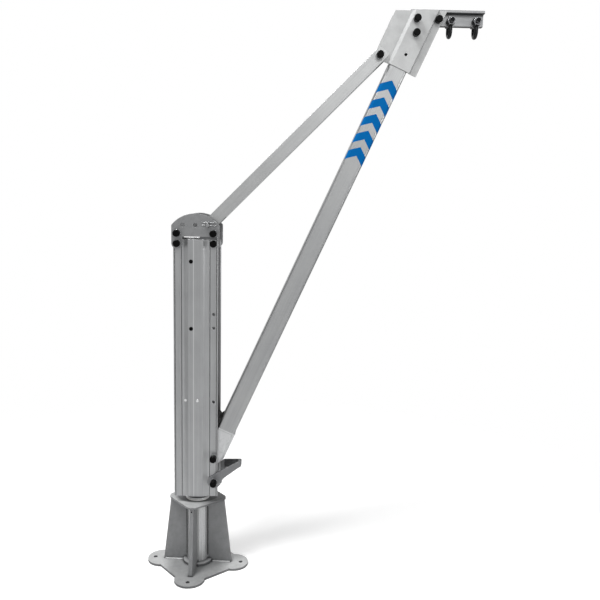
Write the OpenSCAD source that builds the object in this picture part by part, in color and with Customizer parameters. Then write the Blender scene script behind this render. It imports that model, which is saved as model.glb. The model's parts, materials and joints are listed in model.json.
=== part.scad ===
// Davit crane: a floor socket with four gussets, a slewing mast of extruded
// profile, a boom on a pivot bolt, a pinned tie, a head with two shackles
// on a short arm, and a forked lever at the foot of the mast.
// Millimetres. Z is up, the mast turns about Z, the boom leans toward +X.

/* [Base] */
// Radius of the floor bolt circle
floor_bolt_r = 187; // [150:1:240]
// Diameter of each floor bolt hole
floor_hole_d = 17; // [9:0.5:22]
// Thickness of the floor plate
plate_t = 10; // [6:0.5:16]
// Half width and end radius of each foot lobe
lobe_r = 62; // [50:1:80]
// Height of the top plate's upper face above the floor
base_h = 299; // [240:1:360]
// Thickness of the top plate
top_t = 8; // [5:0.5:14]
// Side of the square top plate
top_w = 188; // [160:1:240]
// Corner radius of the top plate
top_r = 31; // [10:1:45]
// Thickness of each gusset
gusset_t = 16; // [8:0.5:24]
// Reach of a gusset's outer corner on the floor plate
gusset_foot = 146; // [120:1:170]
// Reach of a gusset under the top plate
gusset_head = 114; // [95:1:118]
// Turn of the base under the mast, degrees
base_turn = -5.1; // [-45:0.1:45]

/* [Slewing socket] */
// Outer diameter of the socket tube
tube_od = 88; // [80:0.5:100]
// Inner diameter of the socket tube
tube_id = 72; // [70:0.5:76]
// Diameter of the mast spigot
spigot_d = 64; // [56:0.5:64]
// Bore of the hollow spigot
spigot_bore = 48; // [30:1:52]
// Height of the spigot's lower end above the floor plate
spigot_rise = 12; // [6:1:50]
// Length of the spigot inside the mast
spigot_len = 434; // [300:2:560]
// Thickness of the liner's flange
liner_flange_t = 4; // [2:0.5:8]
// Thickness of the thrust washer
thrust_t = 3; // [2:0.5:6]

/* [Mast] */
// Height of the collar under the mast
collar_h = 19.9; // [10:0.1:60]
// Length of the mast profile
mast_h = 1073; // [900:1:1200]
// Width of the mast profile
mast_w = 180; // [170:1:220]
// Depth of the mast profile over its flanges
mast_d = 120; // [116:1:150]
// Thickness of the mast's flanges
flange_t = 8; // [5:0.5:12]
// Height of the raised panel above the flange faces
panel_h = 7; // [3:0.5:10]
// Thickness of the mast's two webs
web_t = 7; // [4:0.5:9]
// Diameter of the drilled holes in the right flanges
drill_d = 13; // [8:0.5:18]

/* [Mast head] */
// Thickness of each head plate
head_plate_t = 10; // [6:0.5:14]
// Half width of the head plates
head_plate_x = 95; // [92:1:105]
// Height of the row of radius holes above the mast's end
radius_rise = 57; // [53:0.5:65]
// Spacing of the radius holes
radius_step = 50; // [46:0.5:52]
// Diameter of each radius hole
radius_hole_d = 17; // [16.5:0.1:18]
// Diameter of the release pin
pin_d = 16; // [12:0.5:16]

/* [Boom] */
// Distance of the boom pivot from the mast axis
pivot_x = 73; // [70:0.5:76]
// Height of the boom pivot above the mast's lower end
pivot_rise = 168.4; // [154:0.1:194]
// Lean of the boom from the vertical, degrees
boom_angle = 24.05; // [22:0.05:27]
// Width of the boom profile
boom_w = 75; // [68:0.5:78]
// Depth of the boom profile
boom_d = 100; // [90:1:101]
// Wall of the boom profile
boom_wall = 5; // [3:0.5:8]
// Corner radius of the boom profile
boom_r = 12; // [8:0.5:14]
// Distance of the profile's lower end from the pivot
boom_s0 = 124; // [110:1:150]
// Length of the boom profile
boom_len = 1766; // [1600:1:1800]

/* [Boom head] */
// Length of the boom profile inside the head
head_lap = 162; // [158:1:190]
// Height of the head's level top edge above the arm's bolts
head_rise = 34.5; // [24:0.5:38]
// Sheet thickness of the head shells over the boom
shell_t = 4.7; // [3:0.1:6]
// Thickness of the head shells' wings
wing_t = 6; // [4:0.5:8]
// Reach of the left wing from the boom axis
wing_left = 103; // [101:0.5:112]
// Reach of the right wing from the boom axis
wing_right = 77.5; // [76:0.5:90]

/* [Arm and shackles] */
// Length of the arm outside its outer bolt
arm_reach = 179.5; // [176:0.5:200]
// Height of the arm's top above its bolts
arm_top = 40.5; // [38:0.5:46]
// Width of the arm's top flange
arm_w = 71.4; // [60:0.2:71.4]
// Thickness of the arm's top flange
arm_flange_t = 11; // [8:0.5:12]
// Thickness of the arm's web
arm_web_t = 25; // [20:0.5:26]
// Distance of the arm's lower edge under its bolts
arm_low = 13.5; // [12:0.5:20]
// Spacing of the two shackles
shackle_step = 100; // [96:0.5:110]
// Diameter of the shackle pins
shackle_pin_d = 18; // [14:0.5:20]
// Width across flats of the shackle pins' heads and nuts
shackle_af = 28; // [24:0.5:30]
// Diameter of the shackle bow stock
bow_d = 15; // [12:0.5:16]
// Depth of the bow's lowest point under the pin
bow_drop = 61; // [58:0.5:70]

/* [Tie] */
// Width of the tie
tie_w = 48; // [44:0.5:50]
// Depth of the tie over its two side walls
tie_d = 96; // [94:0.5:100]
// Wall of the tie's narrow sides
tie_wall = 4; // [3:0.5:6]
// Reach of the tie past the head bolt
tie_past = 30; // [26:0.5:34]

/* [Lever] */
// Distance of the lever pivot from the mast axis
lever_x = 75; // [74:0.5:78]
// Height of the lever pivot above the mast's lower end
lever_rise = 65; // [59:0.5:74]
// Plate thickness of the lever
lever_t = 6; // [4:0.5:8]
// Angle at which the lever's cheeks bend inward, degrees
lever_bend = 36.5; // [30:0.5:36.5]

/* [Fasteners] */
// Diameter of the main bolts
bolt_d = 14; // [12:0.5:14]
// Width across flats of the bolts' hexagons
hex_af = 21; // [19:0.5:21]
// Height of each nut
nut_h = 12; // [10:0.5:14]
// Height of each bolt head
bolt_head_h = 9; // [7:0.5:11]
// Diameter of each washer
washer_d = 28; // [26:0.5:28]
// Thickness of each washer
washer_t = 3; // [2:0.5:3]
// Outer diameter of each plastic cap
cap_d = 27.5; // [27:0.5:28]
// Height of each plastic cap
cap_h = 27; // [24:0.5:30]

/* [Fits] */
// Radial running gap of a pivot
run_gap = 0.08; // [0.03:0.01:0.1]
// Gap between parts that sit side by side
seat_gap = 0.3; // [0.2:0.05:0.4]
// Radial gap of a bolt in its hole
bolt_gap = 0.3; // [0.15:0.05:0.5]

/* [Hidden] */
$fn = 64;
eps = 1;

// Derived values of the base
lobe_c = floor_bolt_r - lobe_r / 2;
lobe_back = 8;
ring_r = tube_od / 2 + 18;
ring_h = 14;
weld_gap = 0.1;
tube_r = tube_od / 2;
top_z0 = base_h - top_t;
bead = 5;

// Derived values of the slewing socket
spigot_r = spigot_d / 2;
liner_flange_r = tube_r + 6;
thrust_z0 = base_h + liner_flange_t;
collar_z0 = thrust_z0 + thrust_t + seat_gap / 3;
collar_r = tube_r + 1;
spigot_z = plate_t + spigot_rise;
mast_z0 = collar_z0 + collar_h;
mast_z1 = mast_z0 + mast_h;
spigot_top = mast_z0 + spigot_len;

// Derived values of the mast profile
half_w = mast_w / 2;
half_d = mast_d / 2;
flange_in = half_d - flange_t;
box_in = spigot_r + 1;
box_out = box_in + web_t;
rib_t = 5;
panel_foot = half_w * 48 / 90;
panel_top = half_w * 27 / 90;
panel_y = half_d + panel_h;
pocket_y = panel_y - flange_t;
groove_a = half_w * 57 / 90;
groove_b = half_w * 83.7 / 90;
groove_w = 3;
groove_d = 2.2;
drill_x = half_w * 0.8;
drill_z = [for (share = [0.37931, 0.66682, 0.71948]) mast_z0 + mast_h * share];
screw_z = mast_z0 + mast_h * 0.38537;
screw_a_x = -half_w * 0.472;
screw_b_x = half_w * 0.084;
screw_r = 3;
screw_head_r = 5.5;
screw_head_h = 2.5;
plug_x = -half_w * 0.2;
plug_z = [for (share = [0.6645, 0.91799]) mast_z0 + mast_h * share];
plug_r = 6;
plug_rim_r = 8;

// Derived values of the mast head
plate_y0 = half_d;
plate_y1 = half_d + head_plate_t;
radius_z = mast_z1 + radius_rise;
arc_r = 119.5;
arc_z = radius_z - 74.5;
head_gap = 11;
head_low = mast_z1 + head_gap;
head_bolt_x = half_w * 0.8;
upper_bolt = [head_bolt_x, radius_z - 32.5];
lower_bolt = [head_bolt_x, mast_z1 - 16];
ear_r = 21.5;
block_x0 = box_out + flange_t;
block_x1 = half_w - 4;
block_left_in = block_x0 + 17;
block_low = 20;
ledge_x = 16;
lug_r = bolt_d / 2 + 3.5;
pin_r = pin_d / 2;
pin_x = radius_step;
pin_end = plate_y1 + 18;
clip_y = plate_y1 + 9;
clip_r = 1.9;

// Derived values of the boom, in its own frame: x across, z along
boom_ax = [sin(boom_angle), cos(boom_angle)];
pivot_z = mast_z0 + pivot_rise;
boom_s1 = boom_s0 + boom_len;
half_b = boom_w / 2;
half_bd = boom_d / 2;
foot_r = 32;
foot_y = half_bd - 3;
foot_right = half_b + 3.5;
foot_left = half_b - 2.5;
foot_wall = 8;
foot_waist = 30;
lip_t = 5;
lip_y = half_bd + 1;
insert_len = 90;
bush_r = bolt_d / 2 + 4;

// Derived values of the boom head
head_s0 = boom_s1 - head_lap;
open_hole_r = 6;
shell_in = half_bd + seat_gap;
shell_out = shell_in + shell_t;
wing_out = tie_d / 2 - 6;
wing_in = wing_out - wing_t;
back_rise = 20;
tie_bolt_u = -84;
tie_bolt_s = head_s0 + 13;
shell_bolt_u = 5;
shell_bolt_s = boom_s1 - 20;
open_hole_s = head_s0 + 56.5;
head_x = pivot_x + tie_bolt_u * boom_ax[1] + tie_bolt_s * boom_ax[0];
head_z = pivot_z - tie_bolt_u * boom_ax[0] + tie_bolt_s * boom_ax[1];

// Derived values of the arm, in a frame at the arm's bolt height on the boom axis
arm_s = boom_s1 + 35.2;
arm_x = pivot_x + arm_s * boom_ax[0];
arm_z = pivot_z + arm_s * boom_ax[1];
head_top = arm_z + head_rise;
arm_bolt_a = -16.6;
arm_bolt_c = 67;
arm_left = -36;
arm_right = arm_bolt_c + arm_reach;
pin_rise = 2.5;
lobe_pin_r = 22;
shackle_out_x = arm_right - 27;
shackle_in_x = shackle_out_x - shackle_step;
shackle_r = shackle_pin_d / 2;
jaw = arm_web_t / 2 + 1;
ear_t = bow_d - 1;
ear_out_r = shackle_r + 8;
shackle_nut_h = 15;
shackle_head_h = 12;
shackle_end = 27;
shackle_spot_r = shackle_af / 2 / cos(30) + seat_gap;
bow_r = bow_d / 2;
bow_arc = 23.5;

// Derived values of the tie, in a frame at the head bolt: z points up along the tie
tie_dx = head_x - pin_x;
tie_dz = head_z - radius_z;
tie_len = norm([tie_dx, tie_dz]);
tie_angle = atan2(tie_dx, tie_dz);
half_t = tie_w / 2;
half_td = tie_d / 2;
tie_in = wing_out + seat_gap;
tie_end_r = 19;
tie_open = 70;
tie_fork = 50;
slot_dir = 39;
slot_reach = 44;
tie_taper = 26;

// Derived values of the lever, in a frame at its pivot
lever_z = mast_z0 + lever_rise;
lever_hub_r = 27;
lever_y0 = half_d + seat_gap;
lever_y1 = lever_y0 + lever_t;
lever_fold = 34;
lever_len = 94;
lever_tip_z = 48;
lever_tip_h = 25;

// Derived values of the fasteners
bolt_r = bolt_d / 2;
hole_r = bolt_r + bolt_gap;
cap_gap = 0.2;
bolt_end = 4;
spacer_wall = 4.5;

// A flat rectangle with rounded corners, centred
module rounded(w, d, r) {
    square([w - 2 * r, d], center = true);
    square([w, d - 2 * r], center = true);
    for (sx = [-1, 1])
        for (sy = [-1, 1])
            translate([sx * (w / 2 - r), sy * (d / 2 - r)])
                circle(r);
}

// Plate standing in the XZ plane between two depths, drawn as x and z
module wall_y(y0, y1) {
    translate([0, y1, 0])
        rotate([90, 0, 0])
            linear_extrude(y1 - y0)
                children();
}

// Round bar along Y between two depths
module bar_y(r, y0, y1) {
    translate([0, y0, 0])
        rotate([-90, 0, 0])
            cylinder(r = r, h = y1 - y0);
}

// Hexagon along Y between two depths
module hex_y(af, y0, y1) {
    translate([0, y0, 0])
        rotate([-90, 0, 0])
            cylinder(d = af / cos(30), h = y1 - y0, $fn = 6);
}

// Frame of the base, turned under the mast
module in_base() {
    rotate([0, 0, base_turn])
        children();
}

// Frame of the boom: x across the boom, z along it from the pivot
module in_boom() {
    translate([pivot_x, 0, pivot_z])
        rotate([0, boom_angle, 0])
            children();
}

// Frame of the arm, level
module in_arm() {
    translate([arm_x, 0, arm_z])
        children();
}

// Frame of the tie at the head bolt
module in_tie() {
    translate([head_x, 0, head_z])
        rotate([0, tie_angle, 0])
            children();
}

// Frame of the lever at its pivot
module in_lever() {
    translate([lever_x, 0, lever_z])
        children();
}

// One bolt between a front and a back face: shank, head behind, thread end in front
module bolt(front, back) {
    nut_seat = front + washer_t;
    head_seat = back + washer_t;
    bar_y(bolt_r, -nut_seat - nut_h - bolt_end, head_seat);
    hex_y(hex_af, head_seat, head_seat + bolt_head_h);
}

// The nut of such a bolt
module bolt_nut(front) {
    nut_seat = front + washer_t;
    difference() {
        hex_y(hex_af, -nut_seat - nut_h, -nut_seat);
        bar_y(bolt_r + cap_gap / 2, -nut_seat - nut_h - eps, -nut_seat + eps);
    }
}

// The two washers of such a bolt
module bolt_washers(front, back) {
    for (y = [-front - washer_t, back])
        difference() {
            bar_y(washer_d / 2, y, y + washer_t);
            bar_y(hole_r, y - eps, y + washer_t + eps);
        }
}

// The two caps of such a bolt: a domed cup over the nut and over the head
module cap_cup() {
    dome = 3;
    difference() {
        union() {
            cylinder(d = cap_d, h = cap_h - dome);
            translate([0, 0, cap_h - dome])
                cylinder(d1 = cap_d, d2 = cap_d - 2 * dome, h = dome);
        }
        translate([0, 0, -eps])
            cylinder(d = hex_af / cos(30) + 2 * cap_gap, h = nut_h + eps + cap_gap);
        translate([0, 0, -eps])
            cylinder(r = bolt_r + cap_gap, h = nut_h + bolt_end + 1 + eps);
    }
}

module bolt_caps(front, back) {
    translate([0, -front - washer_t, 0])
        rotate([90, 0, 0])
            cap_cup();
    translate([0, back + washer_t, 0])
        rotate([-90, 0, 0])
            cap_cup();
}

// Places the four bolts of the mast head: two upper, lower left, lower right
module at_head_bolts() {
    for (s = [-1, 1])
        translate([s * upper_bolt[0], 0, upper_bolt[1]])
            children(0);
    translate([-lower_bolt[0], 0, lower_bolt[1]])
        children(1);
    translate([lower_bolt[0], 0, lower_bolt[1]])
        children(2);
}

// Floor plate: four round lobes on an eight-sided centre, one hole in each lobe
module base_plate() {
    c = lobe_c - lobe_back;
    w = lobe_r - 1;
    color("gainsboro")
        in_base()
            difference() {
                union() {
                    linear_extrude(plate_t)
                        polygon([[w, c], [c, w], [c, -w], [w, -c], [-w, -c], [-c, -w], [-c, w], [-w, c]]);
                    for (k = [0:3])
                        rotate([0, 0, 90 * k])
                            translate([lobe_c, 0, 0])
                                cylinder(r = lobe_r, h = plate_t);
                }
                for (k = [0:3])
                    rotate([0, 0, 90 * k])
                        translate([floor_bolt_r, 0, -eps])
                            cylinder(d = floor_hole_d, h = plate_t + 2 * eps);
            }
}

// Ring welded round the foot of the socket tube
module foot_ring() {
    color("silver")
        translate([0, 0, plate_t])
            difference() {
                union() {
                    cylinder(r = ring_r, h = ring_h - 4);
                    translate([0, 0, ring_h - 4])
                        cylinder(r1 = ring_r, r2 = ring_r - 4, h = 4);
                }
                translate([0, 0, -eps])
                    cylinder(r = tube_r + weld_gap, h = ring_h + 2 * eps);
            }
}

// Tube that takes the mast spigot, from the floor plate through the top plate
module socket_tube() {
    color("silver")
        translate([0, 0, plate_t])
            difference() {
                cylinder(r = tube_r, h = base_h - plate_t);
                translate([0, 0, -eps])
                    cylinder(d = tube_id, h = base_h);
            }
}

// Four tapered gussets between the floor plate, the tube and the top plate
module gussets() {
    tap_z = top_z0 - 13;
    tap_r = gusset_head + (gusset_foot - gusset_head) * 13 / (top_z0 - plate_t);
    color("gray")
        in_base()
            difference() {
                for (k = [0:3])
                    rotate([0, 0, 90 * k])
                        wall_y(-gusset_t / 2, gusset_t / 2)
                            polygon([[ring_r + weld_gap, plate_t], [gusset_foot, plate_t],
                                [gusset_foot, plate_t + 6], [gusset_head, top_z0],
                                [tube_r - 4, top_z0], [tube_r - 4, plate_t + ring_h + weld_gap],
                                [ring_r + weld_gap, plate_t + ring_h + weld_gap]]);
                cylinder(r = tube_r + weld_gap, h = base_h);
                translate([0, -tap_r + 12, tap_z])
                    rotate([90, 0, 0])
                        cylinder(d = 7, h = 20);
            }
}

// Fillet welds: along both sides of each gusset's foot and up the tube
module weld_beads() {
    run = gusset_foot - ring_r - 6;
    side = gusset_t / 2;
    color("silver")
        in_base()
            difference() {
                for (k = [0:3])
                    rotate([0, 0, 90 * k])
                        for (m = [0, 1])
                            mirror([0, m, 0]) {
                                translate([ring_r + 3, side, plate_t])
                                    rotate([90, 0, 90])
                                        linear_extrude(run)
                                            polygon([[0, 0], [bead, 0], [0, bead]]);
                                translate([0, 0, plate_t + ring_h + 1])
                                    linear_extrude(top_z0 - plate_t - ring_h - 2)
                                        polygon([[tube_r - 6, side], [tube_r + bead - 1, side],
                                            [tube_r - 6, side + bead + 4]]);
                            }
                cylinder(r = tube_r + weld_gap / 2, h = base_h, $fn = 256);
            }
}

// Square top plate with round corners, its corners over the gussets
module top_plate() {
    color("gainsboro")
        in_base()
            translate([0, 0, top_z0])
                linear_extrude(top_t)
                    difference() {
                        rotate(45)
                            rounded(top_w, top_w, top_r);
                        circle(tube_r + weld_gap);
                    }
}

// Plain bearing sleeve in the tube, with a flange on the top plate
module socket_liner() {
    color("white")
        difference() {
            union() {
                translate([0, 0, plate_t + 2])
                    cylinder(d = tube_id - 2 * weld_gap, h = base_h - plate_t - 2);
                translate([0, 0, base_h])
                    cylinder(r = liner_flange_r, h = liner_flange_t);
            }
            cylinder(r = spigot_r + run_gap, h = base_h + liner_flange_t + eps);
        }
}

// Washer that carries the mast's collar
module thrust_washer() {
    color("silver")
        translate([0, 0, thrust_z0])
            difference() {
                cylinder(r = collar_r, h = thrust_t);
                translate([0, 0, -eps])
                    cylinder(r = spigot_r + seat_gap, h = thrust_t + 2 * eps);
            }
}

// Hollow spigot with the collar that carries the mast
module mast_spigot() {
    color("silver")
        difference() {
            union() {
                translate([0, 0, spigot_z])
                    cylinder(r1 = spigot_r - 2, r2 = spigot_r, h = 2);
                translate([0, 0, spigot_z + 2])
                    cylinder(r = spigot_r, h = spigot_top - spigot_z - 2);
                translate([0, 0, collar_z0])
                    cylinder(r = collar_r, h = mast_z0 - collar_z0);
            }
            translate([0, 0, spigot_z - eps])
                cylinder(d = spigot_bore, h = spigot_top);
        }
}

// One flange of the mast's section, with round edges
module mast_flange() {
    translate([-half_w + flange_t / 2, flange_in])
        square([mast_w - flange_t, flange_t]);
    for (s = [-1, 1])
        translate([s * (half_w - flange_t / 2), flange_in + flange_t / 2])
            circle(d = flange_t);
}

// Raised panel on a flange, its sides curving up from the flange face
module mast_panel() {
    low = half_d - flange_t / 2;
    polygon([[-panel_foot, low], [-panel_foot, half_d], [-panel_foot * 0.9, half_d + panel_h * 0.16],
        [-panel_foot * 0.75, half_d + panel_h * 0.55], [-panel_top * 1.15, half_d + panel_h * 0.92],
        [-panel_top, panel_y], [panel_top, panel_y], [panel_top * 1.15, half_d + panel_h * 0.92],
        [panel_foot * 0.75, half_d + panel_h * 0.55], [panel_foot * 0.9, half_d + panel_h * 0.16],
        [panel_foot, half_d], [panel_foot, low]]);
}

// Hollows of the mast: the spigot's bore and a pocket behind each panel
module mast_hollows() {
    square([2 * box_in, 2 * box_in], center = true);
    for (s = [-1, 1]) {
        translate([-box_in, s > 0 ? box_in + rib_t : -pocket_y])
            square([2 * box_in, pocket_y - box_in - rib_t]);
        for (x = [-groove_b, -groove_a, groove_a, groove_b])
            translate([x, s * half_d])
                square([groove_w, 2 * groove_d], center = true);
    }
}

// Upright profile with open channels left and right
module mast_profile() {
    corner = 16;
    color("silver")
        difference() {
            translate([0, 0, mast_z0])
                for (m = [0, 1])
                    mirror([0, m, 0]) {
                        linear_extrude(mast_h)
                            mast_flange();
                        linear_extrude(mast_h)
                            mast_panel();
                        linear_extrude(mast_h)
                            translate([-box_out, -eps])
                                square([2 * box_out, flange_in + 2 * eps]);
                    }
            translate([0, 0, mast_z0 - eps])
                linear_extrude(mast_h + 2 * eps)
                    mast_hollows();
            for (s = [-1, 1])
                wall_y(-half_d - eps, half_d + eps)
                    difference() {
                        translate([s > 0 ? half_w - corner : -half_w - eps, mast_z1 - corner])
                            square([corner + eps, corner + eps]);
                        translate([s * (half_w - corner), mast_z1 - corner])
                            circle(corner);
                    }
            for (z = drill_z)
                translate([drill_x, 0, z])
                    bar_y(drill_d / 2, -half_d - eps, half_d + eps);
            for (p = [[pivot_x, pivot_z], [lever_x, lever_z], lower_bolt, [-lower_bolt[0], lower_bolt[1]]])
                translate([p[0], 0, p[1]])
                    bar_y(hole_r, -half_d - eps, half_d + eps);
            for (z = plug_z)
                translate([plug_x, 0, z])
                    bar_y(plug_r + cap_gap, -panel_y - eps, -pocket_y + eps);
            translate([screw_a_x, 0, screw_z])
                bar_y(screw_head_r + seat_gap, -panel_y, -half_d + 1);
            translate([screw_a_x, 0, screw_z])
                bar_y(screw_r + cap_gap, -panel_y, -flange_in - 1);
            translate([screw_b_x, 0, screw_z])
                bar_y(screw_r + cap_gap, -panel_y - eps, -pocket_y + eps);
        }
}

// Two round-headed screws in the mast's front
module mast_screws() {
    color("white") {
        translate([screw_a_x, 0, screw_z]) {
            bar_y(screw_head_r, -half_d - screw_head_h, -half_d + 1);
            bar_y(screw_r, -half_d, -flange_in - 1.5);
        }
        translate([screw_b_x, 0, screw_z]) {
            bar_y(screw_head_r, -panel_y - screw_head_h, -panel_y);
            bar_y(screw_r, -panel_y - 1, -pocket_y + 2);
        }
    }
}

// Two plastic plugs in the mast's front
module mast_plugs() {
    color("black")
        for (z = plug_z)
            translate([plug_x, 0, z]) {
                bar_y(plug_rim_r, -panel_y - 1.5, -panel_y);
                bar_y(plug_r, -panel_y - 1, -pocket_y + 2);
            }
}

// Outline of a head plate: an arch with an ear down the left side
module head_outline() {
    difference() {
        union() {
            intersection() {
                translate([0, arc_z])
                    circle(arc_r, $fn = 128);
                translate([-head_plate_x, head_low])
                    square([2 * head_plate_x, arc_r]);
            }
            translate([-head_plate_x, lower_bolt[1]])
                square([2 * ear_r, head_low - lower_bolt[1] + 10]);
            translate([-head_plate_x + ear_r, lower_bolt[1]])
                circle(ear_r);
        }
        for (x = [-radius_step, 0, radius_step])
            translate([x, radius_z])
                circle(d = radius_hole_d);
        for (s = [-1, 1])
            translate([s * upper_bolt[0], upper_bolt[1]])
                circle(hole_r);
        translate([-lower_bolt[0], lower_bolt[1]])
            circle(hole_r);
    }
}

module head_plate_front() {
    color("gray")
        wall_y(-plate_y1, -plate_y0)
            head_outline();
}

// The same plate turned half a turn, so that its ear is on the right
module head_plate_back() {
    rotate([0, 0, 180])
        head_plate_front();
}

// Block between the head plates from an inner face out, its lower half in the mast's channel
module head_block(inner) {
    color("dimgray")
        difference() {
            union() {
                wall_y(-flange_in + seat_gap, flange_in - seat_gap)
                    translate([inner, lower_bolt[1] - block_low])
                        square([block_x1 - inner, mast_z1 - lower_bolt[1] + block_low + 1]);
                wall_y(-plate_y0 + seat_gap, plate_y0 - seat_gap) {
                    translate([inner, mast_z1])
                        square([block_x1 - inner, upper_bolt[1] - mast_z1]);
                    translate(upper_bolt)
                        circle(lug_r);
                }
                children();
            }
            translate([upper_bolt[0], 0, upper_bolt[1]])
                bar_y(hole_r, -plate_y1, plate_y1);
            translate([lower_bolt[0], 0, lower_bolt[1]])
                bar_y(hole_r, -plate_y1, plate_y1);
        }
}

module head_block_left() {
    mirror([1, 0, 0])
        head_block(block_left_in);
}

// The right block also has a ledge over the mast's front wall and one over its back wall
module head_block_right() {
    head_block(block_x0)
        for (m = [0, 1])
            mirror([0, m, 0])
                wall_y(-plate_y0 + seat_gap, -box_out)
                    translate([ledge_x, mast_z1])
                        square([block_x0 - ledge_x + 1, head_gap]);
}

// Four bolts of the mast head; each lower one passes a single ear
module head_bolts() {
    color("silver")
        at_head_bolts() {
            bolt(plate_y1, plate_y1);
            bolt(plate_y1, half_d);
            bolt(half_d, plate_y1);
        }
}

module boom_pivot_bolt() {
    color("silver")
        translate([pivot_x, 0, pivot_z])
            bolt(half_d, half_d);
}

module lever_bolt() {
    color("silver")
        in_lever()
            bolt(lever_y1 + seat_gap, lever_y1 + seat_gap);
}

module mast_nuts() {
    color("silver") {
        at_head_bolts() {
            bolt_nut(plate_y1);
            bolt_nut(plate_y1);
            bolt_nut(half_d);
        }
        translate([pivot_x, 0, pivot_z])
            bolt_nut(half_d);
        in_lever()
            bolt_nut(lever_y1 + seat_gap);
    }
}

module mast_washers() {
    color("white") {
        at_head_bolts() {
            bolt_washers(plate_y1, plate_y1);
            bolt_washers(plate_y1, half_d);
            bolt_washers(half_d, plate_y1);
        }
        translate([pivot_x, 0, pivot_z])
            bolt_washers(half_d, half_d);
        in_lever()
            bolt_washers(lever_y1 + seat_gap, lever_y1 + seat_gap);
    }
}

module mast_caps() {
    color("black") {
        at_head_bolts() {
            bolt_caps(plate_y1, plate_y1);
            bolt_caps(plate_y1, half_d);
            bolt_caps(half_d, plate_y1);
        }
        translate([pivot_x, 0, pivot_z])
            bolt_caps(half_d, half_d);
        in_lever()
            bolt_caps(lever_y1 + seat_gap, lever_y1 + seat_gap);
    }
}

// Rubber stop in the right channel under the boom's lower end
module boom_buffer() {
    z0 = pivot_z + boom_s0 - 18;
    z1 = pivot_z + boom_s0 + 48;
    slack = 0.6;
    back_x = pivot_x - half_b / boom_ax[1] - slack;
    run = boom_ax[0] / boom_ax[1];
    color("black")
        wall_y(-flange_in + 8, flange_in - 8)
            polygon([[box_out, z0], [back_x + run * (z0 - pivot_z), z0],
                [back_x + run * (z1 - pivot_z), z1], [half_w + 8, z1 - 9],
                [half_w + 2, z1], [box_out, z1]]);
}

// Pin through the outer radius holes and the tie, head behind, clip hole in front
module release_pin() {
    color("silver")
        translate([pin_x, 0, radius_z])
            difference() {
                union() {
                    bar_y(pin_r, -pin_end + 2, plate_y1 + 1);
                    translate([0, -pin_end, 0])
                        rotate([-90, 0, 0])
                            cylinder(r1 = pin_r - 2, r2 = pin_r, h = 2);
                    bar_y(pin_r + 5, plate_y1, plate_y1 + 8);
                }
                translate([-pin_r - eps, -clip_y, 0])
                    rotate([0, 90, 0])
                        cylinder(r = clip_r + seat_gap, h = pin_d + 2 * eps);
            }
}

// Wire clip: one leg through the pin, one over it, a ring at the right
module pin_clip() {
    leg_gap = pin_r + clip_r + 1;
    ring = 7.5;
    ring_x = 26;
    tip_x = -24;
    color("white")
        translate([pin_x, -clip_y, radius_z]) {
            translate([tip_x, 0, 0])
                rotate([0, 90, 0])
                    cylinder(r = clip_r, h = ring_x - tip_x);
            translate([tip_x + 6, 0, leg_gap])
                rotate([0, 90, 0])
                    cylinder(r = clip_r, h = ring_x - tip_x - 6);
            translate([tip_x + 6, 0, leg_gap])
                rotate([0, -65, 0])
                    cylinder(r = clip_r, h = 9);
            translate([tip_x + 6, 0, leg_gap])
                sphere(clip_r);
            translate([ring_x + 2, 0, leg_gap / 2])
                rotate([90, 0, 0])
                    rotate_extrude()
                        translate([ring, 0])
                            circle(clip_r, $fn = 32);
        }
}

// Cheek of the lever beside the mast, in x and z from its pivot
module lever_cheek() {
    difference() {
        union() {
            circle(lever_hub_r);
            polygon([[-24, 12], [14.7, 43.3], [lever_fold, 51], [lever_fold, -1], [17.5, -17], [9.6, -25.2]]);
        }
        circle(bolt_r + run_gap);
    }
}

// Outer half of a cheek, bent inward toward the other one
module lever_blade() {
    polygon([[-1, 7.4], [12, 17], [38, 27], [70, 40.5], [lever_len, 48.5], [lever_len, 74], [-1, 51]]);
}

module lever_side() {
    wall_y(-lever_y1, -lever_y0)
        lever_cheek();
    translate([lever_fold, -lever_y1, 0])
        rotate([0, 0, lever_bend])
            wall_y(0, lever_t)
                lever_blade();
}

// Forked lever: two bent cheeks joined at the tip
module foot_lever() {
    tip_x = lever_fold + lever_len * cos(lever_bend) - lever_t;
    tip_y = lever_y1 - lever_len * sin(lever_bend);
    color("gray")
        in_lever() {
            lever_side();
            mirror([0, 1, 0])
                lever_side();
            wall_y(-tip_y, tip_y)
                translate([tip_x - lever_t, lever_tip_z])
                    square([lever_t, lever_tip_h]);
        }
}

// Section of the boom's foot across the boom: chamfered toward the outside
module foot_section() {
    cut = 14;
    polygon([[-foot_left, -foot_y], [foot_right - cut, -foot_y], [foot_right, -foot_y + cut],
        [foot_right, foot_y - cut], [foot_right - cut, foot_y], [-foot_left, foot_y]]);
}

// Side view of the foot below the lip
module foot_side() {
    intersection() {
        union() {
            circle(foot_r);
            polygon([[-foot_r, 0], [-foot_left, foot_waist], [-foot_left, boom_s0 - lip_t],
                [foot_right, boom_s0 - lip_t],
                [foot_right, -4], [foot_r * 0.72, -foot_r * 0.7]]);
        }
        translate([-foot_r, -foot_r])
            square([foot_r + foot_right, boom_s0 + foot_r]);
    }
}

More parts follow.
